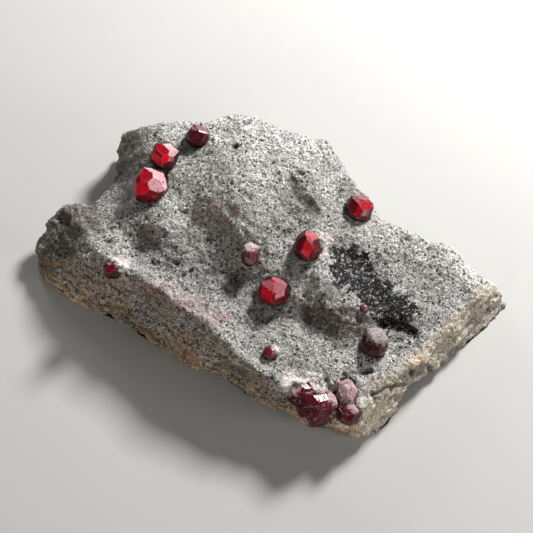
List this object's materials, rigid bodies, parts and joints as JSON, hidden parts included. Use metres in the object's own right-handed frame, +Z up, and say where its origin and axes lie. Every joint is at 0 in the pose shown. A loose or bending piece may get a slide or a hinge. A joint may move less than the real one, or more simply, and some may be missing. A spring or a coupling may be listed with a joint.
{
  "type": "garnet in matrix specimen",
  "caption": "Irregular slab of grey mica schist with red garnet crystals standing in its upper face, lying on a flat underside.",
  "frame": {"origin": "on the surface that the stone lies on, under the middle of the whole specimen's bounding box", "axes": "+X along the slab to its thin right tip, +Y to the far edge with the upper left lobe and the dome, +Z up out of the garnet face"},
  "size_m": [0.1144, 0.0794, 0.0218],
  "materials": {
    "schist": "matte",
    "garnet": "polished"
  },
  "bodies": {
    "root": {"matrix": "schist", "garnet_head_large": "garnet", "garnet_head_middle": "garnet", "garnet_head_dark": "garnet", "garnet_shoulder": "garnet", "garnet_centre": "garnet", "garnet_valley": "garnet", "garnet_pale": "garnet", "garnet_crest": "garnet", "garnet_capped": "garnet", "garnet_bud": "garnet", "garnet_speck": "garnet", "garnet_cluster": "garnet"}
  },
  "joints": []
}
